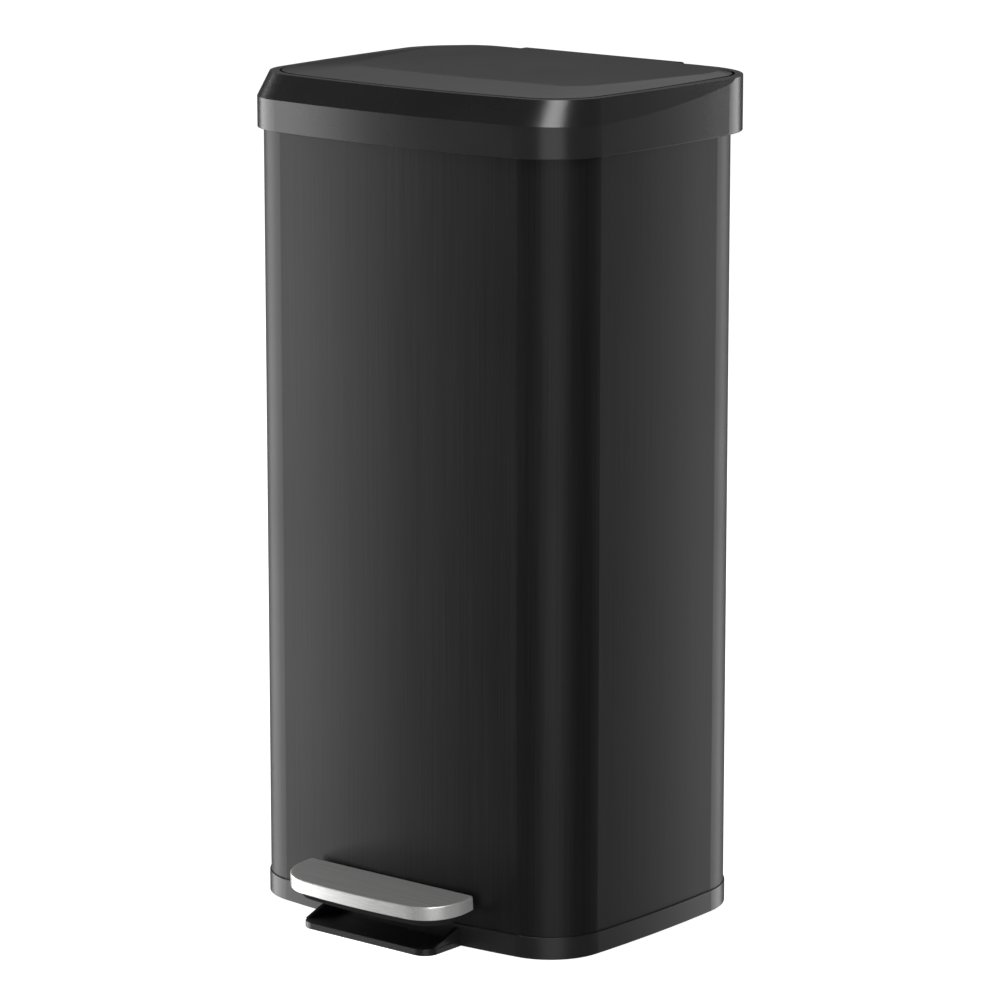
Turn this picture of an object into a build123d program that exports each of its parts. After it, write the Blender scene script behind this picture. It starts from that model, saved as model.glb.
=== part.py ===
from build123d import *
import os
from math import atan, cos, radians, sin, sqrt, tan

# Pedal trash can.  Millimetres, +Z up, front (pedal side) towards -Y.
# Origin: centre of the face the can stands on.

# ---- body -----------------------------------------------------------------
HEIGHT = 651.5  # floor to the collar's rim
BODY_W = 323.0  # across the bowed sides
BODY_D = 250.0  # flat back to the bowed front
FRONT_BOW = 12.6
SIDE_BOW = 6.0
CORNER_FRONT = 49.0
CORNER_REAR = 60.0
SHEET = 0.6
FIT = 0.05  # gap each side where a sheet edge sits in a groove
BODY_FRONT = -BODY_D / 2
BODY_REAR = BODY_D / 2

# ---- base -----------------------------------------------------------------
RING_Z0 = 1.5  # the ring's visible edge stands clear of the floor
BEAD_IN = 2.0  # standing bead under the ring, inside the shell's outer face
BEAD_W = 2.5
RING_TOP = 18.2
RING_PROUD = 1.0
RING_WALL = 3.0  # from the shell's outer face to the ring's inner face
LEDGE_H = 3.6
LEDGE_W = 10.0
SHELL_Z0 = 6.5
PLATE_T = 2.5
PLATE_GAP = 0.1
LEDGE_TOP = RING_Z0 + LEDGE_H
PLATE_TOP = LEDGE_TOP + PLATE_T
BOSS_R = 4.5
BOSS_TOP = 13.5
RIB_T = 2.0
RIB_TOP = 11.0
RIB_X = 42.0
BOSS_ROOF = 1.0
FOOT_R = 12.0
FOOT_X = BODY_W / 2 - 46.5
FOOT_Y = BODY_D / 2 - 45.0
EDGE_R = 0.5

# ---- toe plate --------------------------------------------------------------
TOE_HALF = 64.5
TOE_FRONT = BODY_FRONT - 36.5
TOE_REAR = BODY_FRONT + 26.0
TOE_CORNER = 12.0
TOE_EDGE_R = 0.8
GUSSET_T = 3.0
GUSSET_H = 10.0
GUSSET_L = 29.0

# ---- collar -----------------------------------------------------------------
COLLAR_H = 42.3
COLLAR_SIDE = 3.0  # how far it stands proud of the shell on each side
COLLAR_FRONT = 5.5
COLLAR_REAR = 12.8
COLLAR_CORNER_REAR = 62.0
CHAMFER_H = 18.0
CHAMFER_FRONT = 12.0
CHAMFER_SIDE = 5.0
CHAMFER_CORNER = 7.0
CREASE_REACH = 6.0  # the chamfer's faces are built past both creases by this
CREASE_FRONT_X = -0.6  # side chamfer relative to the collar's corner points
CREASE_MID_X = 1.6
CREASE_REAR_X = 6.4
CREASE_REAR_Y = BODY_REAR + 25.0
RIM = 6.0
POCKET_H = 10.0
LEDGE_T = 2.5
LIP_T = 2.0
LIP_H = 38.0  # rim to the bottom of the mouth's lip
GROOVE_LIP = 3.0
GROOVE_DEPTH = 12.0
SHELL_DROP = 21.0  # rim to the shell's top edge
REAR_POCKET_T = 2.6
REAR_POCKET_X = BODY_W / 2 - 41.5
REAR_RIB_T = 3.0
REAR_RIBS = 5

COLLAR_Z0 = HEIGHT - COLLAR_H
CREASE_Z = HEIGHT - CHAMFER_H
SHELL_TOP = HEIGHT - SHELL_DROP
SEAT_Z = HEIGHT - POCKET_H
COLLAR_HALF = BODY_W / 2 + COLLAR_SIDE
COLLAR_Y0 = BODY_FRONT - COLLAR_FRONT
COLLAR_Y1 = BODY_REAR + COLLAR_REAR
COLLAR_CORNER = CORNER_FRONT + COLLAR_SIDE

# ---- lid --------------------------------------------------------------------
LID_GAP = 1.5
LID_REAR_GAP = 2.5  # wider, so that the rear edge swings clear of the rim
LID_SIDE = 12.5  # collar's outer face to the lid's edge
LID_BACK = 12.0
LID_CORNER_FRONT = 42.0
LID_CORNER_REAR = 38.0
LID_RISE = 2.0  # panel above the rim
LID_EDGE_RISE = 0.2  # lid's edge above the rim
LID_T = 2.2
LID_LIFT = 1.0  # skirt's lower edge above its seat
PANEL_FRONT = 62.0  # lid's edge to the panel's crease
PANEL_HALF = BODY_W / 2 - 49.5
PANEL_REAR_IN = 4.0
PANEL_CORNER = 25.0
PANEL_BOW = 5.0
LINER_T = 2.5
LINER_GAP = 0.1
LINER_BOSS_R = 4.0
LINER_BOSS_H = 4.0
STUD_R = 4.0
STUD_IN = 22.0  # inside the panel's crease

LID_HALF = COLLAR_HALF - LID_SIDE
LID_Y0 = COLLAR_Y0 + CHAMFER_FRONT + RIM + LID_GAP
LID_Y1 = COLLAR_Y1 - LID_BACK
LID_TOP = HEIGHT + LID_RISE
LID_EDGE_Z = HEIGHT + LID_EDGE_RISE
LID_Z0 = SEAT_Z + LID_LIFT

# ---- hinge ------------------------------------------------------------------
KNUCKLE_R = 6.0
KNUCKLE_CLEAR = 0.6
KNUCKLE_WALL = 2.2
NECK_IN = 1.0  # the neck's overlap with the knuckle
TONGUE_HALF = 77.0
TONGUE_GAP = 1.5
BEARING_W = 12.0
HINGE_PIN_R = 2.0
HINGE_PIN_IN = 9.0  # pin's reach into each cheek
RUN = 0.05  # radial clearance of a turning or sliding fit
REAR_SWEEP = 1.2  # the lid's rear edge is relieved this far outside the knuckle
LID_OPEN = 80.0
HINGE_Y = COLLAR_Y1 - KNUCKLE_R
HINGE_Z = LID_TOP - KNUCKLE_R

# ---- pedal linkage ------------------------------------------------------------
PIVOT_Y = BODY_FRONT + 64.0
PIVOT_Z = 27.5
PIVOT_PIN_R = 3.0
BARREL_R = 6.5
BARREL_HALF = 13.8
ARM_DROP = 3.0  # degrees below level at rest
ARM_RISE = 7.0  # degrees above level with the pedal down
BAR_HALF = 12.0
BAR_T = 4.0
BAR_Z = 30.5
ARM_HALF = 10.0
SLOT_HALF = 14.5
SLOT_TOP = 38.0
LINK_PIN_R = 2.0
LINK_PLAY = 0.15
EAR_IN = 3.6
EAR_T = 3.0
EAR_MARGIN = 3.2
EYE_R = 5.0
EYE_HALF = 3.0
ROD_R = 2.5
CLIP_R = 3.8
CLIP_T = 1.0
CLIP_GAP = 0.4
HEAD_T = 1.2
HEAD_R = 3.2

HALF_SWING = radians(LID_OPEN / 2)
REACH = HINGE_Y - PIVOT_Y
LIFT_PER_ARM = (tan(radians(ARM_DROP)) + tan(radians(ARM_RISE))) / (2 * tan(HALF_SWING))
CRANK_R = LIFT_PER_ARM * REACH / (1 + LIFT_PER_ARM)
ROD_Y = HINGE_Y - CRANK_R
ARM_L = ROD_Y - PIVOT_Y
ROD_Z0 = PIVOT_Z - ARM_L * tan(radians(ARM_DROP))
ROD_Z1 = HINGE_Z - CRANK_R * tan(HALF_SWING)

# ---- brackets, guides, deck -----------------------------------------------------
BRACKET_IN = 14.0
BRACKET_T = 2.5
BRACKET_HALF = 11.0
BRACKET_R = 9.0
BRACKET_FOOT = 18.0
PIN_OVER = 3.0
GUIDE_HALF = 12.0
GUIDE_T = 1.5
GUIDE_FLANGE_H = 28.0
GUIDE_R = 6.0
GUIDE_H = 12.0
GUIDE_LOW = 100.0
GUIDE_HIGH = HEIGHT - 90.0
DECK_T = 2.5
DECK_WALL = 2.0
DECK_GAP = 0.3
DECK_TOP = 55.5
DECK_BOSS_GAP = 1.0
NOTCH_HALF = 14.0
NOTCH_IN = 17.0  # ahead of the rod

# ---- crank --------------------------------------------------------------------
CRANK_X = 4.6
CRANK_T = 2.5
CRANK_MARGIN = 3.0
CRANK_END = 0.2
CRANK_FLANGE_X = 24.0
CRANK_FLANGE_Y0 = ROD_Y - 16.0
CRANK_FLANGE_L = 18.0
HATCH_X0 = -8.0
HATCH_X1 = 28.0
HATCH_Y0 = ROD_Y - 20.0
HATCH_OVER = 1.2  # behind the shell's outer face

# ---- pedal --------------------------------------------------------------------
PEDAL_HALF = 82.0
PEDAL_BULGE = 0.8
PEDAL_Y1 = BODY_FRONT - 1.6
PEDAL_D = 47.0
PEDAL_BOW = 5.0
PEDAL_CORNER = 33.0
PEDAL_TILT = 4.0  # degrees down towards the front
PEDAL_HEEL_R = 3.0
CAP_TOP = 44.4  # at the heel
CAP_H = 10.6
CAP_T = 1.2
CAP_EDGE_R = 1.6
BAR_NOTCH_GAP = 0.5
CORE_DROP = 7.4  # below the cap's skirt
CORE_INSET = 5.0
CORE_DRAFT = 3.0
CORE_RIB = 3.0
CORE_POCKETS = 2
CORE_ROOF = 3.0
CORE_REACH = 36.0  # how far the bar runs into the core
CORE_POCKET_END = 10.0  # left solid at the rounded corner
PEDAL_SCREW_IN = (10.0, 28.0)  # in from the heel

# ---- bucket -------------------------------------------------------------------
MOUTH_SIDE = 16.0
MOUTH_FRONT = 20.0
MOUTH_REAR = 34.0
MOUTH_CORNER_FRONT = 36.0
MOUTH_CORNER_REAR = 30.0
BUCKET_GAP = 1.5
BUCKET_RIM_W = 3.2
BUCKET_RIM_H = 8.0
BUCKET_TOP = HEIGHT - 18.0
BUCKET_WALL = 1.8
BUCKET_FLOOR = 2.5
BUCKET_TAPER = 6.0

# ---- fasteners ----------------------------------------------------------------
SCREW_R = 2.0
SCREW_HEAD_R = 3.6
SCREW_HEAD_T = 2.0
CROSS_W = 1.0
CROSS_L = 4.2
CROSS_D = 1.1
SCREW_RECESS = 0.5
SCREW_IN = 2.5  # inside the ring's inner face at the corner
SCREW_Y = BODY_D / 2 - 55.0
SCREW_X = BODY_W / 2 - SIDE_BOW - RING_WALL - SCREW_IN
TOE_SCREW_X = 45.0
TOE_SCREW_Y = BODY_FRONT + 13.0
BUMPER_R = 3.0
BUMPER_X = 60.0
BUMPER_REAR_X = BODY_W / 2 - 51.5

BODY = (BODY_W / 2, BODY_FRONT, BODY_REAR, CORNER_FRONT, CORNER_REAR)
COLLAR = (COLLAR_HALF, COLLAR_Y0, COLLAR_Y1, COLLAR_CORNER, COLLAR_CORNER_REAR)
LID = (LID_HALF, LID_Y0, LID_Y1, LID_CORNER_FRONT, LID_CORNER_REAR)
POCKET = (
    LID_HALF + LID_GAP,
    LID_Y0 - LID_GAP,
    LID_Y1 + LID_REAR_GAP,
    LID_CORNER_FRONT + LID_GAP,
    LID_CORNER_REAR + LID_GAP,
)
MOUTH = (
    BODY_W / 2 - MOUTH_SIDE,
    BODY_FRONT + MOUTH_FRONT,
    BODY_REAR - MOUTH_REAR,
    MOUTH_CORNER_FRONT,
    MOUTH_CORNER_REAR,
)


def plan(spec, inset=0.0):
    """Outline seen from above: bowed front and sides, straight back, rounded corners."""
    half, front, rear, r_front, r_rear = spec
    half, front, rear = half - inset, front + inset, rear - inset
    x, y = half - SIDE_BOW, front + FRONT_BOW
    mid = (y + rear) / 2
    face = make_face(
        [
            ThreePointArc((-x, y), (0, front), (x, y)),
            ThreePointArc((x, y), (half, mid), (x, rear)),
            Line((x, rear), (-x, rear)),
            ThreePointArc((-x, rear), (-half, mid), (-x, y)),
        ]
    )
    corners = face.vertices().sort_by(Axis.Y)
    face = fillet(corners[:2], r_front - inset)
    corners = face.vertices().sort_by(Axis.Y)[-2:]
    return fillet(corners, r_rear - inset)


def grown(spec, by):
    """The outline with every edge moved outwards, or inwards when by is negative."""
    return plan(spec, -by)


def prism(face, z0, z1):
    """Upright solid of an outline between two heights."""
    return Pos(0, 0, z0) * extrude(face, amount=z1 - z0, dir=(0, 0, 1))


def band(outer, inner, z0, z1):
    """Upright wall between two outlines."""
    return prism(outer, z0, z1) - prism(inner, z0, z1)


def block(x0, x1, y0, y1, z0, z1):
    """Box given by its limits."""
    size = Box(x1 - x0, y1 - y0, z1 - z0)
    return Pos((x0 + x1) / 2, (y0 + y1) / 2, (z0 + z1) / 2) * size


def drum(r, x, y, z0, z1):
    """Upright cylinder."""
    return Pos(x, y, (z0 + z1) / 2) * Cylinder(r, z1 - z0)


def slab_x(sketch, x0, x1):
    """Side-view outline, drawn in (y, z), made solid between two x positions."""
    return extrude(Plane.YZ.offset(x0) * sketch, amount=x1 - x0)


def bar_x(r, x0, x1, y, z):
    """Cylinder lying along X."""
    return slab_x(Pos(y, z) * Circle(r), x0, x1)


def both_sides(shape):
    """The shape and its mirror image across the can's middle plane."""
    return shape + mirror(shape, about=Plane.YZ)


def joined(shapes):
    """Separate solids kept together as one node."""
    total = shapes[0]
    for shape in shapes[1:]:
        total += shape
    return total


def screw(x, y, z_seat, length, up):
    """Pan-head cross-recess screw: the head lies outside z_seat and the shank runs the other way."""
    head = drum(SCREW_HEAD_R, x, y, -SCREW_HEAD_T, 0)
    cross = Pos(x, y, 0) * (
        block(-CROSS_L / 2, CROSS_L / 2, -CROSS_W / 2, CROSS_W / 2, -SCREW_HEAD_T, CROSS_D - SCREW_HEAD_T)
        + block(-CROSS_W / 2, CROSS_W / 2, -CROSS_L / 2, CROSS_L / 2, -SCREW_HEAD_T, CROSS_D - SCREW_HEAD_T)
    )
    body = head - cross + drum(SCREW_R, x, y, 0, length)
    if not up:
        body = mirror(body, about=Plane.XY)
    return Pos(0, 0, z_seat) * body


def clip(x0, y, z, r):
    """Retaining ring round a pin that lies along X."""
    return bar_x(CLIP_R + r - LINK_PIN_R, x0, x0 + CLIP_T, y, z) - bar_x(r, x0, x0 + CLIP_T, y, z)


BASE_SCREWS = [(sx * SCREW_X, sy * SCREW_Y) for sx in (-1, 1) for sy in (-1, 1)]
TOE_SCREWS = [(sx * TOE_SCREW_X, TOE_SCREW_Y) for sx in (-1, 1)]
FEET = [(sx * FOOT_X, sy * FOOT_Y) for sx in (-1, 1) for sy in (-1, 1)]
TOE_SEAT = SCREW_RECESS + SCREW_HEAD_T
RING_SEAT = RING_Z0 + TOE_SEAT


def body_shell():
    """Folded and welded sheet sleeve with a slot at the foot for the pedal bar."""
    shell = band(plan(BODY), grown(BODY, -SHEET), SHELL_Z0, SHELL_TOP)
    slot = block(-SLOT_HALF, SLOT_HALF, BODY_FRONT - SHEET, BODY_FRONT + FRONT_BOW, SHELL_Z0, SLOT_TOP)
    return shell - slot


def base_ring():
    """Moulded foot ring: groove for the shell, ledge for the base plate, bead that stands on the floor."""
    ring = prism(grown(BODY, RING_PROUD), RING_Z0, RING_TOP)
    rim = ring.edges().group_by(Axis.Z)[-1]
    ring = fillet(rim, EDGE_R)
    ring -= prism(grown(BODY, -RING_WALL), LEDGE_TOP, RING_TOP)
    ring -= prism(grown(BODY, -RING_WALL - LEDGE_W), RING_Z0, LEDGE_TOP)
    ring -= band(grown(BODY, FIT), grown(BODY, -SHEET - FIT), SHELL_Z0, RING_TOP)
    ring += band(grown(BODY, -BEAD_IN), grown(BODY, -BEAD_IN - BEAD_W), 0, RING_Z0)
    ring -= block(-TOE_HALF, TOE_HALF, BODY_FRONT - 2 * RING_PROUD, TOE_REAR, 0, LEDGE_TOP)
    for x, y in BASE_SCREWS:
        ring -= drum(SCREW_R, x, y, RING_Z0, LEDGE_TOP)
        ring -= drum(SCREW_HEAD_R, x, y, RING_Z0, RING_SEAT)
    return ring


def base_plate():
    """Floor of the can, with screw bosses and stiffening ribs."""
    plate = prism(grown(BODY, -RING_WALL - PLATE_GAP), LEDGE_TOP, PLATE_TOP)
    for x, y in BASE_SCREWS + TOE_SCREWS:
        plate += drum(BOSS_R, x, y, PLATE_TOP, BOSS_TOP)
    for y in (-FOOT_Y, FOOT_Y):
        rib = block(RIB_X, FOOT_X, y - RIB_T / 2, y + RIB_T / 2, PLATE_TOP, RIB_TOP)
        plate += both_sides(rib)
    for x, y in BASE_SCREWS + TOE_SCREWS:
        plate -= drum(SCREW_R, x, y, LEDGE_TOP, BOSS_TOP - BOSS_ROOF)
    for x, y in bracket_screw_points(-1) + bracket_screw_points(1):
        plate -= drum(SCREW_R, x, y, LEDGE_TOP, PLATE_TOP)
    return plate


def rubber_feet():
    """Four anti-slip pads under the base plate."""
    pads = []
    for x, y in FEET:
        pad = drum(FOOT_R, x, y, 0, LEDGE_TOP)
        pads.append(fillet(pad.edges().group_by(Axis.Z)[0], EDGE_R))
    return joined(pads)


def toe_plate():
    """Anti-tip plate on the floor under the pedal, let into the foot ring."""
    blank = block(-TOE_HALF, TOE_HALF, TOE_FRONT, TOE_REAR, 0, LEDGE_TOP)
    plate = fillet(blank.edges().filter_by(Axis.Z).group_by(Axis.Y)[0], TOE_CORNER)
    plate = fillet(plate.faces().sort_by(Axis.Z)[-1].edges().group_by(Axis.Y)[0], TOE_EDGE_R)
    profile = make_face(
        Polyline(
            (BODY_FRONT - GUSSET_L, LEDGE_TOP),
            (BODY_FRONT + FRONT_BOW, LEDGE_TOP),
            (BODY_FRONT + FRONT_BOW, LEDGE_TOP + GUSSET_H),
            (BODY_FRONT, LEDGE_TOP + GUSSET_H),
            close=True,
        )
    )
    gusset = slab_x(profile, TOE_HALF - GUSSET_T, TOE_HALF)
    plate += both_sides(gusset) - prism(grown(BODY, RING_PROUD), LEDGE_TOP, RING_TOP)
    for x, y in TOE_SCREWS:
        plate -= drum(SCREW_R, x, y, 0, LEDGE_TOP)
        plate -= drum(SCREW_HEAD_R, x, y, 0, TOE_SEAT)
    return plate


def screws_at(points, seat):
    """Screws driven up from under the can into the base plate's bosses."""
    length = BOSS_TOP - BOSS_ROOF - seat
    return joined([screw(x, y, seat, length, True) for x, y in points])


def bucket_deck():
    """Raised floor the bucket stands on, over the pedal linkage."""
    outer = grown(BODY, -RING_WALL - DECK_GAP)
    inner = grown(BODY, -RING_WALL - DECK_GAP - DECK_WALL)
    deck = prism(outer, PLATE_TOP, DECK_TOP) - prism(inner, PLATE_TOP, DECK_TOP - DECK_T)
    deck -= block(-SLOT_HALF, SLOT_HALF, BODY_FRONT, BODY_FRONT + 2 * FRONT_BOW, PLATE_TOP, SLOT_TOP)
    deck -= block(-NOTCH_HALF, NOTCH_HALF, ROD_Y - NOTCH_IN, BODY_REAR, PLATE_TOP, DECK_TOP)
    for x, y in BASE_SCREWS + TOE_SCREWS:
        deck -= drum(BOSS_R + DECK_BOSS_GAP, x, y, PLATE_TOP, BOSS_TOP + DECK_BOSS_GAP)
    return deck


def crease_section(z):
    """Level cut through the collar's chamfer faces, running out behind the can."""
    share = (z - CREASE_Z) / CHAMFER_H
    side = share * CHAMFER_SIDE
    corner_x = COLLAR_HALF - SIDE_BOW
    x0 = corner_x + CREASE_FRONT_X - side
    x1 = COLLAR_HALF + CREASE_MID_X - side
    x2 = corner_x + CREASE_REAR_X - side
    front = COLLAR_Y0 + share * CHAMFER_FRONT
    y0 = front + FRONT_BOW
    mid = (y0 + CREASE_REAR_Y) / 2
    face = make_face(
        [
            ThreePointArc((-x0, y0), (0, front), (x0, y0)),
            ThreePointArc((x0, y0), (x1, mid), (x2, CREASE_REAR_Y)),
            Line((x2, CREASE_REAR_Y), (-x2, CREASE_REAR_Y)),
            ThreePointArc((-x2, CREASE_REAR_Y), (-x1, mid), (-x0, y0)),
        ]
    )
    corners = face.vertices().sort_by(Axis.Y)[:2]
    face = fillet(corners, COLLAR_CORNER - share * CHAMFER_CORNER)
    return Pos(0, 0, z) * face


def collar():
    """Moulded rim: grips the shell's top edge, carries the lid's seat, hinge cheeks and mouth."""
    ring = prism(plan(COLLAR), COLLAR_Z0, HEIGHT)
    ring = fillet(ring.edges().group_by(Axis.Z)[0], EDGE_R)
    z0, z1 = CREASE_Z - CREASE_REACH, HEIGHT + CREASE_REACH
    slopes = loft([crease_section(z0), crease_section(z1)], ruled=True)
    waste = block(-BODY_W, BODY_W, -BODY_W, COLLAR_Y1 + RIM, z0, z1 - RIM / 2) - slopes
    ring -= waste
    ring -= prism(plan(POCKET), SEAT_Z, HEIGHT)
    ring -= prism(grown(BODY, -GROOVE_LIP), COLLAR_Z0, SEAT_Z - LEDGE_T)
    ring -= prism(plan(MOUTH), SEAT_Z - LEDGE_T, SEAT_Z)
    ring -= band(grown(BODY, FIT), grown(BODY, -SHEET - FIT), COLLAR_Z0, SHELL_TOP)
    ring -= band(grown(BODY, 0), grown(BODY, -GROOVE_LIP), COLLAR_Z0, SHELL_TOP - GROOVE_DEPTH)
    ring += band(grown(MOUTH, LIP_T), plan(MOUTH), HEIGHT - LIP_H, SEAT_Z)
    ring -= rear_hollows()
    hatch_y1 = BODY_REAR + HATCH_OVER
    ring -= block(HATCH_X0, HATCH_X1, HATCH_Y0, BODY_REAR - SHEET, HEIGHT - LIP_H, HEIGHT)
    ring -= block(HATCH_X0, HATCH_X1, HATCH_Y0, hatch_y1, SHELL_TOP, HEIGHT)
    return ring - hinge_pocket()


def rear_hollows():
    """Pockets that core out the thick rear wall from below, with ribs between them."""
    y0, y1 = BODY_REAR + REAR_POCKET_T, COLLAR_Y1 - REAR_POCKET_T
    pitch = 2 * REAR_POCKET_X / REAR_RIBS
    cells = []
    for i in range(REAR_RIBS):
        x0 = -REAR_POCKET_X + i * pitch + REAR_RIB_T / 2
        cells.append(block(x0, x0 + pitch - REAR_RIB_T, y0, y1, COLLAR_Z0, SHELL_TOP - REAR_POCKET_T))
    return joined(cells)


def hinge_pocket():
    """Room for the lid's knuckle, and the pin's holes in the cheeks beside it."""
    x = TONGUE_HALF + TONGUE_GAP
    r = KNUCKLE_R + KNUCKLE_CLEAR
    room = bar_x(r, -x, x, HINGE_Y, HINGE_Z)
    room += block(-x, x, HINGE_Y - r, HINGE_Y + 2 * r, HINGE_Z, HEIGHT)
    reach = x + HINGE_PIN_IN
    return room + bar_x(HINGE_PIN_R, -reach, reach, HINGE_Y, HINGE_Z)


def panel_outline(z):
    """Crease round the lid's level panel."""
    front = LID_Y0 + PANEL_FRONT
    y0 = front + PANEL_BOW
    rear = LID_Y1 - LID_GAP / 2
    x2 = LID_HALF - SIDE_BOW - PANEL_REAR_IN
    mid = (y0 + rear) / 2
    x1 = (PANEL_HALF + x2) / 2 + SIDE_BOW / 2
    face = make_face(
        [
            ThreePointArc((-PANEL_HALF, y0), (0, front), (PANEL_HALF, y0)),
            ThreePointArc((PANEL_HALF, y0), (x1, mid), (x2, rear)),
            Line((x2, rear), (-x2, rear)),
            ThreePointArc((-x2, rear), (-x1, mid), (-PANEL_HALF, y0)),
        ]
    )
    corners = face.vertices().sort_by(Axis.Y)
    face = fillet(corners[:2], PANEL_CORNER)
    face = fillet(face.vertices().sort_by(Axis.Y)[-2:], LID_CORNER_REAR)
    return Pos(0, 0, z) * face


def lid_form(inset, drop):
    """The lid as a solid block: upright edge, sloped border, level panel."""
    edge = Pos(0, 0, LID_EDGE_Z - drop) * plan(LID, inset)
    slope = loft([edge, panel_outline(LID_TOP - drop)], ruled=True)
    return prism(plan(LID, inset), LID_Z0, LID_EDGE_Z - drop) + slope


def lid_cover():
    """Visible lid moulding with its hinge tongue and knuckle."""
    cover = lid_form(0, 0) - lid_form(LID_T, LID_T)
    x = TONGUE_HALF
    relief = bar_x(KNUCKLE_R + REAR_SWEEP, x, LID_HALF, HINGE_Y, HINGE_Z)
    cover -= both_sides(relief)
    for px, py in lid_studs():
        cover += drum(STUD_R, px, py, LID_Z0 + LINER_T, LID_TOP - LID_T / 2)
    cover += knuckle()
    return cover - bar_x(HINGE_PIN_R + RUN, -x, x, HINGE_Y, HINGE_Z)


def lid_studs():
    """Places where the cover's studs meet the liner."""
    front = LID_Y0 + PANEL_FRONT + PANEL_CORNER
    rear = LID_Y1 - LID_CORNER_REAR - STUD_R
    return [(sx * (PANEL_HALF - STUD_IN), y) for sx in (-1, 1) for y in (front, rear)]


def knuckle():
    """Hinge knuckle: a curved skin with a bearing block at each end and one in the middle."""
    x = TONGUE_HALF
    skin = bar_x(KNUCKLE_R, -x, x, HINGE_Y, HINGE_Z)
    hollow = Pos(HINGE_Y, HINGE_Z) * Circle(KNUCKLE_R - KNUCKLE_WALL)
    hollow += Pos(HINGE_Y, HINGE_Z - KNUCKLE_R / 2) * Rectangle(2 * (KNUCKLE_R - KNUCKLE_WALL), KNUCKLE_R)
    mid = BEARING_W / 2
    for x0, x1 in ((-x + BEARING_W, -mid), (mid, x - BEARING_W)):
        skin -= slab_x(hollow, x0, x1)
    bridge = block(-x, x, LID_Y1 - LID_T, HINGE_Y, LID_TOP - KNUCKLE_WALL, LID_TOP)
    neck = block(-x, x, LID_Y1 - LID_T, HINGE_Y - KNUCKLE_R + NECK_IN, HINGE_Z, LID_TOP)
    return skin + bridge + neck


def crank_screw_points():
    """Screws that hold the crank's flange under the liner."""
    x = (CRANK_X + CRANK_T + CRANK_FLANGE_X) / 2
    y = CRANK_FLANGE_Y0 + CRANK_FLANGE_L / 2
    return [(x, y - CRANK_FLANGE_L / 4), (x, y + CRANK_FLANGE_L / 4)]


def lid_liner():
    """Flat moulding that closes the lid underneath."""
    liner = prism(plan(LID, LID_T + LINER_GAP), LID_Z0, LID_Z0 + LINER_T)
    top = LID_Z0 + LINER_T + LINER_BOSS_H
    for x, y in crank_screw_points():
        liner += drum(LINER_BOSS_R, x, y, LID_Z0, top)
    for x, y in crank_screw_points():
        liner -= drum(SCREW_R, x, y, LID_Z0, top)
    return liner


def crank_slot_width():
    """Pin diameter plus the sideways drift of a pin that rises evenly past an evenly turning slot."""
    half_rise = tan(HALF_SWING) / 2
    drift = atan(half_rise) - HALF_SWING / 2
    return 2 * (LINK_PIN_R + CRANK_R * sqrt(1 + half_rise**2) * sin(drift) + LINK_PLAY)


def lid_crank():
    """Steel plate under the lid whose slot the rod's upper pin pushes against."""
    far = CRANK_R / cos(HALF_SWING)
    slot_w = crank_slot_width()
    slot = SlotCenterToCenter(far - CRANK_R + 2 * CRANK_END, slot_w)
    place = Pos(HINGE_Y, HINGE_Z) * Rot(0, 0, 180 + LID_OPEN / 2)
    near = place * Pos(CRANK_R, 0) * Circle(slot_w / 2 + CRANK_MARGIN)
    tip = place * Pos(far, 0) * Circle(slot_w / 2 + CRANK_MARGIN)
    y1 = CRANK_FLANGE_Y0 + CRANK_FLANGE_L
    edge = Line((CRANK_FLANGE_Y0, LID_Z0), (y1, LID_Z0))
    outline = make_hull(near.edges() + tip.edges() + [edge])
    outline -= place * Pos((CRANK_R + far) / 2, 0) * slot
    crank = slab_x(outline, CRANK_X, CRANK_X + CRANK_T)
    crank += block(CRANK_X, CRANK_FLANGE_X, CRANK_FLANGE_Y0, y1, LID_Z0 - CRANK_T, LID_Z0)
    for x, y in crank_screw_points():
        crank -= drum(SCREW_R, x, y, LID_Z0 - CRANK_T, LID_Z0)
    return crank


def crank_screws():
    """Screws through the crank's flange into the liner's bosses."""
    length = CRANK_T + LINER_T + LINER_BOSS_H - BOSS_ROOF
    return joined([screw(x, y, LID_Z0 - CRANK_T, length, True) for x, y in crank_screw_points()])


def lid_bumpers():
    """Rubber buttons that the closed lid comes down on."""
    front_y = (LID_Y0 - LID_GAP + BODY_FRONT + MOUTH_FRONT) / 2
    rear_y = (LID_Y1 + BODY_REAR - MOUTH_REAR) / 2
    spots = [(-BUMPER_X, front_y), (BUMPER_X, front_y)]
    spots += [(-BUMPER_REAR_X, rear_y), (BUMPER_REAR_X, rear_y)]
    bow = FRONT_BOW * (BUMPER_X / LID_HALF) ** 2
    spots = [(x, y + bow if y < 0 else y) for x, y in spots]
    return joined([drum(BUMPER_R, x, y, SEAT_Z, LID_Z0) for x, y in spots])


def hinge_pin():
    """Steel pin through the lid's knuckle, held in the collar's cheeks."""
    reach = TONGUE_HALF + TONGUE_GAP + HINGE_PIN_IN
    return bar_x(HINGE_PIN_R, -reach, reach, HINGE_Y, HINGE_Z)


def push_rod():
    """Upright rod with an eye at each end."""
    rod = drum(ROD_R, 0, ROD_Y, ROD_Z0, ROD_Z1)
    for z in (ROD_Z0, ROD_Z1):
        rod += bar_x(EYE_R, -EYE_HALF, EYE_HALF, ROD_Y, z)
    for z in (ROD_Z0, ROD_Z1):
        rod -= bar_x(LINK_PIN_R, -EYE_HALF, EYE_HALF, ROD_Y, z)
    return rod


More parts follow.
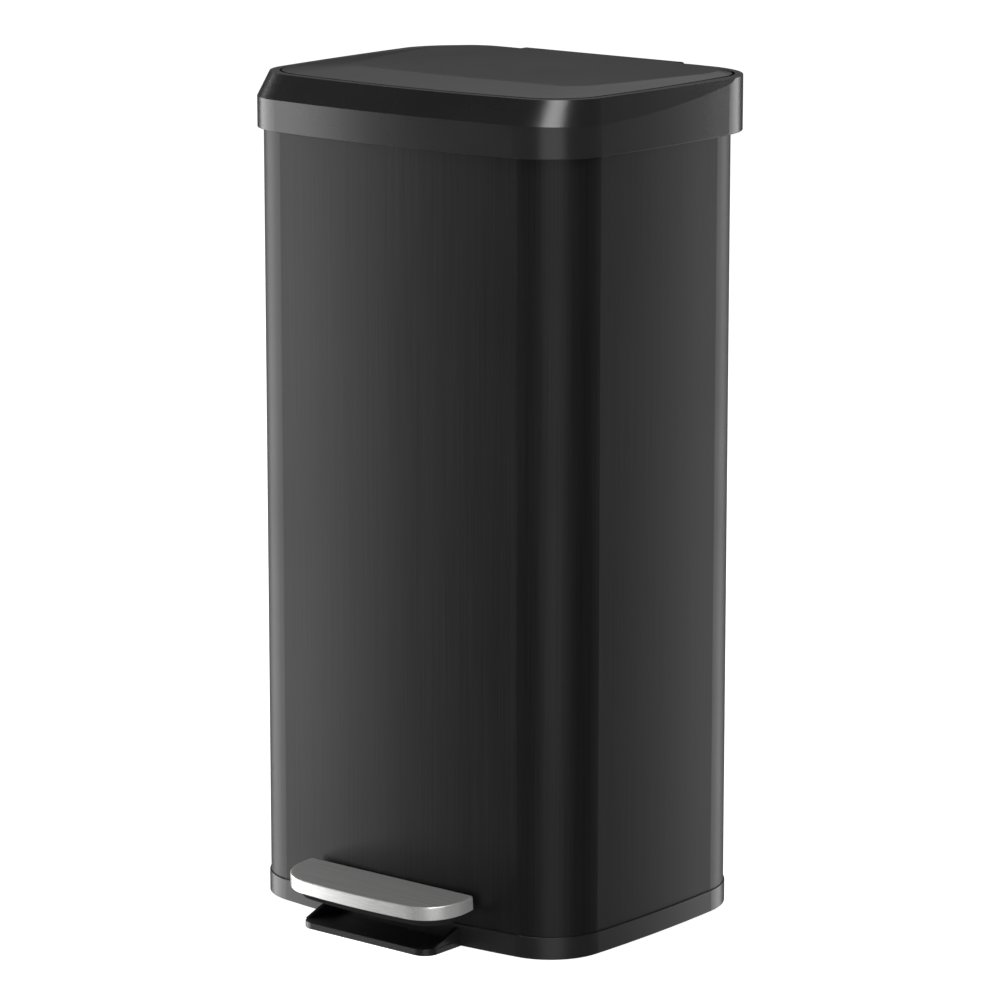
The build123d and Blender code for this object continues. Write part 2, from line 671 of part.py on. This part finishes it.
def rod_upper_pin():
    """Headed pin in the rod's upper eye, running in the crank's slot."""
    tip = CRANK_X + CRANK_T + CLIP_GAP + CLIP_T + CLIP_GAP
    pin = bar_x(LINK_PIN_R, -EYE_HALF, tip, ROD_Y, ROD_Z1)
    return pin + bar_x(HEAD_R, -EYE_HALF - HEAD_T, -EYE_HALF, ROD_Y, ROD_Z1)


def rod_lower_pin():
    """Cross pin in the rod's lower eye, running in the pedal lever's fork."""
    tip = EAR_IN + EAR_T + CLIP_GAP + CLIP_T + CLIP_GAP
    return bar_x(LINK_PIN_R, -tip, tip, ROD_Y, ROD_Z0)


def rod_clips():
    """Retaining rings on the rod's two pins."""
    upper = clip(CRANK_X + CRANK_T + CLIP_GAP, ROD_Y, ROD_Z1, LINK_PIN_R)
    x0 = EAR_IN + EAR_T + CLIP_GAP
    return upper + both_sides(clip(x0, ROD_Y, ROD_Z0, LINK_PIN_R))


def rod_guide(z):
    """Steel bracket welded inside the shell's back, with a bore the rod slides in."""
    wall = BODY_REAR - SHEET
    half = GUIDE_FLANGE_H / 2
    guide = block(-GUIDE_HALF, GUIDE_HALF, wall - GUIDE_T, wall, z - half, z + half)
    guide += block(-GUIDE_R, GUIDE_R, ROD_Y, wall - GUIDE_T, z - GUIDE_H / 2, z + GUIDE_H / 2)
    guide += drum(GUIDE_R, 0, ROD_Y, z - GUIDE_H / 2, z + GUIDE_H / 2)
    return guide - drum(ROD_R + RUN, 0, ROD_Y, z - GUIDE_H / 2, z + GUIDE_H / 2)


def pivot_bracket(side):
    """Angle bracket on the base plate that carries one end of the pedal's pivot pin."""
    ear = Pos(PIVOT_Y, PIVOT_Z) * Circle(BRACKET_R)
    ear += Pos(PIVOT_Y, (PIVOT_Z + PLATE_TOP) / 2) * Rectangle(2 * BRACKET_R, PIVOT_Z - PLATE_TOP)
    ear -= Pos(PIVOT_Y, PIVOT_Z) * Circle(PIVOT_PIN_R)
    x1 = BRACKET_IN + BRACKET_T
    bracket = slab_x(ear, BRACKET_IN, x1)
    y0, y1 = PIVOT_Y - BRACKET_HALF, PIVOT_Y + BRACKET_HALF
    bracket += block(BRACKET_IN, x1 + BRACKET_FOOT, y0, y1, PLATE_TOP, PLATE_TOP + BRACKET_T)
    if side < 0:
        bracket = mirror(bracket, about=Plane.YZ)
    for x, y in bracket_screw_points(side):
        bracket -= drum(SCREW_R, x, y, PLATE_TOP, PLATE_TOP + BRACKET_T)
    return bracket


def bracket_screw_points(side):
    """Two screws per bracket foot."""
    x = side * (BRACKET_IN + BRACKET_T + BRACKET_FOOT / 2)
    return [(x, PIVOT_Y - BRACKET_HALF / 2), (x, PIVOT_Y + BRACKET_HALF / 2)]


def bracket_screws():
    """Screws down through both bracket feet into the base plate."""
    points = bracket_screw_points(-1) + bracket_screw_points(1)
    seat = PLATE_TOP + BRACKET_T
    return joined([screw(x, y, seat, BRACKET_T + PLATE_T, False) for x, y in points])


def pivot_pin():
    """Pin the pedal lever rocks on."""
    reach = BRACKET_IN + BRACKET_T + PIN_OVER
    return bar_x(PIVOT_PIN_R, -reach, reach, PIVOT_Y, PIVOT_Z)


def pivot_clips():
    """Retaining rings outside the pivot brackets."""
    return both_sides(clip(BRACKET_IN + BRACKET_T + CLIP_GAP, PIVOT_Y, PIVOT_Z, PIVOT_PIN_R))


def pedal_lever():
    """Steel lever: flat bar out to the pedal, barrel on the pivot, forked arm to the rod."""
    front = PEDAL_Y1 - CORE_REACH
    bar = block(-BAR_HALF, BAR_HALF, front, PIVOT_Y + BARREL_R / 2, BAR_Z, BAR_Z + BAR_T)
    lever = bar + bar_x(BARREL_R, -BARREL_HALF, BARREL_HALF, PIVOT_Y, PIVOT_Z)
    tilt = Pos(PIVOT_Y, PIVOT_Z) * Rot(0, 0, -ARM_DROP)
    arm_end = ARM_L - EYE_R - EAR_MARGIN
    lever += slab_x(tilt * Pos(arm_end / 2, 0) * Rectangle(arm_end, BAR_T), -ARM_HALF, ARM_HALF)
    stretch = ARM_L / cos(radians(ARM_RISE)) - ARM_L
    hole_w = 2 * (LINK_PIN_R + LINK_PLAY)
    hole = SlotCenterToCenter(stretch + 2 * CRANK_END, hole_w)
    ear_back = arm_end - EYE_R
    ear_tip = ARM_L + stretch
    ear = Pos((ear_back + ear_tip) / 2, 0) * SlotCenterToCenter(ear_tip - ear_back, hole_w + 2 * EAR_MARGIN)
    ear -= Pos(ARM_L + stretch / 2, 0) * hole
    lever += both_sides(slab_x(tilt * ear, EAR_IN, EAR_IN + EAR_T))
    lever -= bar_x(PIVOT_PIN_R + RUN, -BARREL_HALF, BARREL_HALF, PIVOT_Y, PIVOT_Z)
    for x, y in pedal_screw_points():
        lever -= drum(SCREW_R, x, y, BAR_Z, BAR_Z + BAR_T)
    return lever


def pedal_outline(inset=0.0):
    """D-shaped pedal outline: straight heel, bowed sides and front."""
    front, rear = PEDAL_Y1 - PEDAL_D + inset, PEDAL_Y1 - inset
    y0 = front + PEDAL_BOW
    half = PEDAL_HALF - inset
    mid = (y0 + rear) / 2
    face = make_face(
        [
            ThreePointArc((-half, y0), (0, front), (half, y0)),
            ThreePointArc((half, y0), (half + PEDAL_BULGE, mid), (half, rear)),
            Line((half, rear), (-half, rear)),
            ThreePointArc((-half, rear), (-half - PEDAL_BULGE, mid), (-half, y0)),
        ]
    )
    corners = face.vertices().sort_by(Axis.Y)
    face = fillet(corners[:2], PEDAL_CORNER - inset)
    return fillet(face.vertices().sort_by(Axis.Y)[-2:], max(PEDAL_HEEL_R - inset, EDGE_R))


def tilted(shape):
    """Tips a pedal part down towards the front about the cap's top rear edge."""
    return Pos(0, PEDAL_Y1, CAP_TOP) * Rot(PEDAL_TILT, 0, 0) * Pos(0, -PEDAL_Y1, -CAP_TOP) * shape


def pedal_cap():
    """Pressed steel cap over the pedal."""
    cap = prism(pedal_outline(), CAP_TOP - CAP_H, CAP_TOP)
    cap = fillet(cap.edges().group_by(Axis.Z)[-1], CAP_EDGE_R)
    cap -= prism(pedal_outline(CAP_T), CAP_TOP - CAP_H, CAP_TOP - CAP_T)
    half = BAR_HALF + BAR_NOTCH_GAP
    y0, y1 = PEDAL_Y1 - 2 * CAP_T, PEDAL_Y1 + CAP_T
    notch = block(-half, half, y0, y1, BAR_Z, BAR_Z + BAR_T + BAR_NOTCH_GAP)
    return tilted(cap) - notch


def pedal_core():
    """Moulded pedal body under the steel cap, channelled for the bar."""
    skirt = CAP_TOP - CAP_H
    core = prism(pedal_outline(CAP_T), skirt, CAP_TOP - CAP_T)
    low = Pos(0, 0, skirt - CORE_DROP) * pedal_outline(CORE_INSET + CORE_DRAFT)
    high = Pos(0, 0, skirt) * pedal_outline(CORE_INSET)
    core += loft([low, high], ruled=True)
    edge = CORE_INSET + CORE_DRAFT + CORE_RIB
    x0, x1 = BAR_HALF + CORE_RIB, PEDAL_HALF - edge
    y0, y1 = PEDAL_Y1 - PEDAL_D + PEDAL_BOW + edge, PEDAL_Y1 - edge
    pitch = (x1 - x0 - CORE_POCKET_END) / CORE_POCKETS
    for i in range(CORE_POCKETS):
        start = x0 + i * pitch
        cell = block(start, start + pitch - CORE_RIB, y0, y1, skirt - CORE_DROP, CAP_TOP - CAP_T - CORE_ROOF)
        core -= both_sides(cell)
    core = tilted(core)
    core -= block(-BAR_HALF, BAR_HALF, PEDAL_Y1 - CORE_REACH, PEDAL_Y1 + CAP_T, RING_TOP, BAR_Z + BAR_T)
    for x, y in pedal_screw_points():
        core -= drum(SCREW_R, x, y, BAR_Z, BAR_Z + pedal_screw_length())
    return core


def pedal_screw_points():
    """Screws along the bar inside the pedal."""
    return [(0, PEDAL_Y1 - step) for step in PEDAL_SCREW_IN]


def pedal_screw_length():
    """From the bar's underside to just under the core's roof at its lower, front end."""
    roof = CAP_TOP - CAP_T - CORE_ROOF - CORE_REACH * sin(radians(PEDAL_TILT))
    return roof - BAR_Z


def pedal_screws():
    """Screws up through the bar into the pedal core."""
    return joined([screw(x, y, BAR_Z, pedal_screw_length(), True) for x, y in pedal_screw_points()])


def inner_bucket():
    """Lift-out bucket with a turned-down rim."""
    z0, z1 = DECK_TOP, BUCKET_TOP
    rim_in = BUCKET_GAP + BUCKET_RIM_W
    outer = loft(
        [Pos(0, 0, z0) * plan(MOUTH, rim_in + BUCKET_TAPER), Pos(0, 0, z1) * plan(MOUTH, rim_in)],
        ruled=True,
    )
    wall = BUCKET_WALL
    inner = loft(
        [
            Pos(0, 0, z0) * plan(MOUTH, rim_in + BUCKET_TAPER + wall),
            Pos(0, 0, z1) * plan(MOUTH, rim_in + wall),
        ],
        ruled=True,
    )
    rim = prism(plan(MOUTH, BUCKET_GAP), z1 - BUCKET_RIM_H, z1)
    rim -= prism(plan(MOUTH, BUCKET_GAP + wall), z1 - BUCKET_RIM_H, z1 - wall)
    solid = outer + rim
    return solid - (inner - prism(plan(MOUTH), z0, z0 + BUCKET_FLOOR))


NODES = {
    "body_shell": body_shell,
    "base_ring": base_ring,
    "base_plate": base_plate,
    "rubber_feet": rubber_feet,
    "toe_plate": toe_plate,
    "base_screws": lambda: screws_at(BASE_SCREWS, RING_SEAT),
    "toe_screws": lambda: screws_at(TOE_SCREWS, TOE_SEAT),
    "bucket_deck": bucket_deck,
    "collar": collar,
    "lid_bumpers": lid_bumpers,
    "hinge_pin": hinge_pin,
    "rod_guide_lower": lambda: rod_guide(GUIDE_LOW),
    "rod_guide_upper": lambda: rod_guide(GUIDE_HIGH),
    "pivot_bracket_left": lambda: pivot_bracket(-1),
    "pivot_bracket_right": lambda: pivot_bracket(1),
    "bracket_screws": bracket_screws,
    "pivot_pin": pivot_pin,
    "pivot_clips": pivot_clips,
    "lid_cover": lid_cover,
    "lid_liner": lid_liner,
    "lid_crank": lid_crank,
    "crank_screws": crank_screws,
    "push_rod": push_rod,
    "rod_upper_pin": rod_upper_pin,
    "rod_lower_pin": rod_lower_pin,
    "rod_clips": rod_clips,
    "pedal_lever": pedal_lever,
    "pedal_core": pedal_core,
    "pedal_cap": pedal_cap,
    "pedal_screws": pedal_screws,
    "inner_bucket": inner_bucket,
}

os.makedirs("parts", exist_ok=True)
for node, make in NODES.items():
    export_step(make(), f"parts/{node}.step")
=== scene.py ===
from math import cos, radians, sin

import bmesh
import bpy
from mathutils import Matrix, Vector

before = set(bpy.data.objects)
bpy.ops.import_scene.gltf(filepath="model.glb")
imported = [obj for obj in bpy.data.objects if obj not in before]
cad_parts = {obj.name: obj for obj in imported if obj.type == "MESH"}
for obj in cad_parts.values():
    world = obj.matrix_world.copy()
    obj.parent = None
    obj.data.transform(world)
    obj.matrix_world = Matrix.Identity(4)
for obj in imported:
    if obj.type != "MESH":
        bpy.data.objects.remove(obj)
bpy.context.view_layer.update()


# ---- camera -------------------------------------------------------------------
CAM_POS = Vector((2.2719, -2.7768, 1.0847))
CAM_AZ = radians(39.24)
CAM_EL = radians(12.05)
LENS = 170.16
SENSOR = 36.0

cam_data = bpy.data.cameras.new("camera")
cam_data.lens = LENS
cam_data.sensor_width = SENSOR
cam = bpy.data.objects.new("camera", cam_data)
bpy.context.collection.objects.link(cam)
cam.location = CAM_POS
look = Vector((-sin(CAM_AZ) * cos(CAM_EL), cos(CAM_AZ) * cos(CAM_EL), -sin(CAM_EL)))
cam.rotation_euler = look.to_track_quat("-Z", "Y").to_euler()
bpy.context.scene.camera = cam


# ---- node helpers ---------------------------------------------------------------
def new_material(name):
    mat = bpy.data.materials.new(name)
    mat.use_nodes = True
    tree = mat.node_tree
    return mat, tree, tree.nodes["Principled BSDF"]


def add(tree, kind, **values):
    node = tree.nodes.new(kind)
    for key, value in values.items():
        setattr(node, key, value)
    return node


def object_coords(tree, scale):
    """Object coordinates stretched by scale along each axis."""
    coord = add(tree, "ShaderNodeTexCoord")
    mapping = add(tree, "ShaderNodeMapping")
    mapping.inputs["Scale"].default_value = scale
    tree.links.new(coord.outputs["Object"], mapping.inputs["Vector"])
    return mapping.outputs["Vector"]


def noise(tree, vector, scale, detail=4.0, rough=0.55):
    node = add(tree, "ShaderNodeTexNoise")
    node.inputs["Scale"].default_value = scale
    node.inputs["Detail"].default_value = detail
    node.inputs["Roughness"].default_value = rough
    tree.links.new(vector, node.inputs["Vector"])
    return node.outputs["Fac"]


def spread(tree, value, low, high, out_low, out_high):
    """Maps value from low..high to out_low..out_high."""
    node = add(tree, "ShaderNodeMapRange")
    node.inputs["From Min"].default_value = low
    node.inputs["From Max"].default_value = high
    node.inputs["To Min"].default_value = out_low
    node.inputs["To Max"].default_value = out_high
    tree.links.new(value, node.inputs["Value"])
    return node.outputs["Result"]


def two_tone(tree, value, dark, light):
    node = add(tree, "ShaderNodeMix", data_type="RGBA")
    node.inputs["A"].default_value = (*dark, 1.0)
    node.inputs["B"].default_value = (*light, 1.0)
    tree.links.new(value, node.inputs["Factor"])
    return node.outputs["Result"]


def bump(tree, height, distance, strength):
    node = add(tree, "ShaderNodeBump")
    node.inputs["Distance"].default_value = distance
    node.inputs["Strength"].default_value = strength
    tree.links.new(height, node.inputs["Height"])
    return node.outputs["Normal"]


# ---- materials ------------------------------------------------------------------
# noise values mostly lie between these, so tones and roughness are spread over them
LOW, HIGH = 0.3, 0.7
EVEN = (1.0, 1.0, 1.0)
UPRIGHT_GRAIN = (1600.0, 1600.0, 6.0)
LENGTH_GRAIN = (12.0, 2200.0, 2200.0)
FINE_GRAIN = (300.0, 300.0, 300.0)
BRUSH_SWING = 0.04  # roughness changes this much either way with the grain
BRUSH_STRENGTH = 0.5
METAL_CLOUD = 6.0  # the clouds are slow noise, and SWING is the roughness they add
METAL_SWING = (-0.02, 0.03)
PLASTIC_GRAIN = 900.0
PLASTIC_DEPTH = 0.00004
PLASTIC_STRENGTH = 0.35
PLASTIC_CLOUD = 9.0
PLASTIC_SWING = (-0.01, 0.015)
RUBBER_GRAIN = 1400.0
RUBBER_DEPTH = 0.0001
RUBBER_STRENGTH = 0.5
RUBBER_ROUGH = (0.75, 0.9)
RUBBER_SPECULAR = 0.25


def brushed(name, dark, light, metallic, rough, grain_scale, grain_depth):
    """Brushed metal; grain_scale sets how fine the grain is along each axis."""
    mat, tree, bsdf = new_material(name)
    vec = object_coords(tree, grain_scale)
    fine = noise(tree, vec, 1.0, detail=6.0, rough=0.65)
    plain = object_coords(tree, EVEN)
    cloud = noise(tree, plain, METAL_CLOUD, detail=3.0)
    tone = spread(tree, fine, LOW, HIGH, 0.0, 1.0)
    tree.links.new(two_tone(tree, tone, dark, light), bsdf.inputs["Base Color"])
    bsdf.inputs["Metallic"].default_value = metallic
    rough_fine = spread(tree, fine, LOW, HIGH, rough - BRUSH_SWING, rough + BRUSH_SWING)
    rough_cloud = spread(tree, cloud, LOW, HIGH, *METAL_SWING)
    both = add(tree, "ShaderNodeMath", operation="ADD")
    tree.links.new(rough_fine, both.inputs[0])
    tree.links.new(rough_cloud, both.inputs[1])
    tree.links.new(both.outputs[0], bsdf.inputs["Roughness"])
    tree.links.new(bump(tree, fine, grain_depth, BRUSH_STRENGTH), bsdf.inputs["Normal"])
    return mat


def moulded(name, dark, light, rough, depth=PLASTIC_DEPTH):
    """Moulded plastic with a fine grain and slight, slow changes of tone and gloss."""
    mat, tree, bsdf = new_material(name)
    plain = object_coords(tree, EVEN)
    fine = noise(tree, plain, PLASTIC_GRAIN, detail=3.0)
    cloud = noise(tree, plain, PLASTIC_CLOUD)
    tone = spread(tree, cloud, LOW, HIGH, 0.0, 1.0)
    tree.links.new(two_tone(tree, tone, dark, light), bsdf.inputs["Base Color"])
    rough_low, rough_high = (rough + swing for swing in PLASTIC_SWING)
    tree.links.new(spread(tree, cloud, LOW, HIGH, rough_low, rough_high), bsdf.inputs["Roughness"])
    tree.links.new(bump(tree, fine, depth, PLASTIC_STRENGTH), bsdf.inputs["Normal"])
    return mat


def rubbery(name, dark, light):
    """Matte rubber with a fine grain."""
    mat, tree, bsdf = new_material(name)
    plain = object_coords(tree, EVEN)
    fine = noise(tree, plain, RUBBER_GRAIN)
    tree.links.new(two_tone(tree, fine, dark, light), bsdf.inputs["Base Color"])
    tree.links.new(spread(tree, fine, LOW, HIGH, *RUBBER_ROUGH), bsdf.inputs["Roughness"])
    bsdf.inputs["Specular IOR Level"].default_value = RUBBER_SPECULAR
    tree.links.new(bump(tree, fine, RUBBER_DEPTH, RUBBER_STRENGTH), bsdf.inputs["Normal"])
    return mat


STEEL_BODY = brushed(
    "black_steel", (0.022, 0.022, 0.023), (0.036, 0.036, 0.037), 0.85, 0.42, UPRIGHT_GRAIN, 0.00003
)
COLLAR_MAT = moulded("collar_plastic", (0.010, 0.010, 0.010), (0.014, 0.014, 0.014), 0.27)
RING_MAT = moulded("ring_plastic", (0.007, 0.007, 0.007), (0.010, 0.010, 0.010), 0.34)
LID_MAT = moulded("lid_plastic", (0.012, 0.012, 0.012), (0.017, 0.017, 0.017), 0.20, depth=0.00001)
INNER_MAT = moulded("inner_plastic", (0.030, 0.030, 0.031), (0.040, 0.040, 0.041), 0.5)
BUCKET_MAT = moulded("bucket_plastic", (0.045, 0.045, 0.048), (0.06, 0.06, 0.063), 0.45)
CAP_MAT = brushed("cap_steel", (0.58, 0.58, 0.57), (0.86, 0.86, 0.85), 0.72, 0.34, LENGTH_GRAIN, 0.00003)
ZINC_MAT = brushed("zinc_steel", (0.42, 0.42, 0.42), (0.55, 0.55, 0.55), 1.0, 0.34, FINE_GRAIN, 0.00002)
RUBBER_MAT = rubbery("rubber", (0.018, 0.018, 0.018), (0.03, 0.03, 0.03))

DRESS = {
    "body_shell": STEEL_BODY,
    "base_ring": RING_MAT,
    "base_plate": INNER_MAT,
    "rubber_feet": RUBBER_MAT,
    "toe_plate": RING_MAT,
    "base_screws": ZINC_MAT,
    "toe_screws": ZINC_MAT,
    "bucket_deck": INNER_MAT,
    "collar": COLLAR_MAT,
    "lid_bumpers": RUBBER_MAT,
    "hinge_pin": ZINC_MAT,
    "rod_guide_lower": ZINC_MAT,
    "rod_guide_upper": ZINC_MAT,
    "pivot_bracket_left": ZINC_MAT,
    "pivot_bracket_right": ZINC_MAT,
    "bracket_screws": ZINC_MAT,
    "pivot_pin": ZINC_MAT,
    "pivot_clips": ZINC_MAT,
    "lid_cover": LID_MAT,
    "lid_liner": INNER_MAT,
    "lid_crank": ZINC_MAT,
    "crank_screws": ZINC_MAT,
    "push_rod": ZINC_MAT,
    "rod_upper_pin": ZINC_MAT,
    "rod_lower_pin": ZINC_MAT,
    "rod_clips": ZINC_MAT,
    "pedal_lever": ZINC_MAT,
    "pedal_core": RING_MAT,
    "pedal_cap": CAP_MAT,
    "pedal_screws": ZINC_MAT,
    "inner_bucket": BUCKET_MAT,
}


def dress(obj, mat):
    for slot in obj.material_slots:
        slot.material = mat
    if not obj.material_slots:
        obj.data.materials.append(mat)


for node, mat in DRESS.items():
    dress(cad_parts[node], mat)


# ---- rounded edges: node -> (bevel width in metres, segments)
EDGES = {
    "collar": (0.0007, 3),
    "lid_cover": (0.0006, 3),
    "base_ring": (0.0004, 2),
    "toe_plate": (0.0005, 2),
}
EDGE_ANGLE = radians(25.0)
for node, (width, segments) in EDGES.items():
    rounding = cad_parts[node].modifiers.new("edge", "BEVEL")
    rounding.width = width
    rounding.segments = segments
    rounding.limit_method = "ANGLE"
    rounding.angle_limit = EDGE_ANGLE
    rounding.harden_normals = True


# ---- stage and light --------------------------------------------------------------
def plane(name, size):
    """Level square on the origin, size metres wide."""
    mesh = bpy.data.meshes.new(name)
    half = size / 2
    corners = [(-half, -half, 0), (half, -half, 0), (half, half, 0), (-half, half, 0)]
    mesh.from_pydata(corners, [], [(0, 1, 2, 3)])
    obj = bpy.data.objects.new(name, mesh)
    bpy.context.collection.objects.link(obj)
    return obj


def dome(name, radius):
    """Sphere round the origin."""
    mesh = bpy.data.meshes.new(name)
    bm = bmesh.new()
    bmesh.ops.create_uvsphere(bm, u_segments=48, v_segments=24, radius=radius)
    bm.to_mesh(mesh)
    bm.free()
    obj = bpy.data.objects.new(name, mesh)
    bpy.context.collection.objects.link(obj)
    return obj


WHITE = (1.0, 1.0, 1.0, 1.0)
AMBIENT = 0.05
GLOW = 1.0
FLOOR_SIZE = 24.0
DOME_RADIUS = 11.5
AIM = Vector((0.0, 0.0, 0.35))  # every light points here


def glowing(name, tone, rough, specular):
    """Plain light surface that also gives off white light."""
    mat, _, bsdf = new_material(name)
    bsdf.inputs["Base Color"].default_value = (tone, tone, tone, 1.0)
    bsdf.inputs["Roughness"].default_value = rough
    bsdf.inputs["Specular IOR Level"].default_value = specular
    bsdf.inputs["Emission Color"].default_value = WHITE
    bsdf.inputs["Emission Strength"].default_value = GLOW
    return mat


floor = plane("floor", FLOOR_SIZE)
floor.data.materials.append(glowing("floor", 0.9, 0.9, 0.1))
floor.visible_glossy = False
floor.visible_shadow = False

world = bpy.data.worlds.new("studio")
bpy.context.scene.world = world
world.use_nodes = True
background = world.node_tree.nodes["Background"]
background.inputs["Color"].default_value = WHITE
background.inputs["Strength"].default_value = AMBIENT

backdrop = dome("backdrop", DOME_RADIUS)
backdrop.data.materials.append(glowing("backdrop", 1.0, 1.0, 0.0))
# only the camera sees the backdrop
for flag in ("visible_diffuse", "visible_glossy", "visible_transmission", "visible_shadow"):
    setattr(backdrop, flag, False)

bpy.context.scene.view_settings.view_transform = "Standard"


def area(name, bearing, elevation, distance, width, height, power):
    """Softbox at a bearing from the can: 0 is straight ahead of the pedal, 90 is its +X side."""
    data = bpy.data.lights.new(name, "AREA")
    data.shape = "RECTANGLE"
    data.size = width
    data.size_y = height
    data.energy = power
    obj = bpy.data.objects.new(name, data)
    bpy.context.collection.objects.link(obj)
    turn = radians(bearing)
    rise = radians(elevation)
    towards = Vector((sin(turn) * cos(rise), -cos(turn) * cos(rise), sin(rise)))
    obj.location = AIM + distance * towards
    obj.rotation_euler = (AIM - obj.location).to_track_quat("-Z", "Y").to_euler()
    obj.visible_camera = False


# name, bearing, elevation, distance, width, height, power
area("left_box", -72.0, -4.0, 3.4, 3.2, 3.4, 125.0)
area("corner_box", 44.0, -8.0, 6.0, 4.2, 3.0, 52.0)
area("right_box", 163.0, -4.0, 3.4, 1.6, 3.4, 50.0)
area("back_box", 219.0, 22.0, 4.2, 4.0, 1.1, 4.5)
area("top_box", 46.0, 57.0, 3.2, 1.3, 1.3, 52.0)
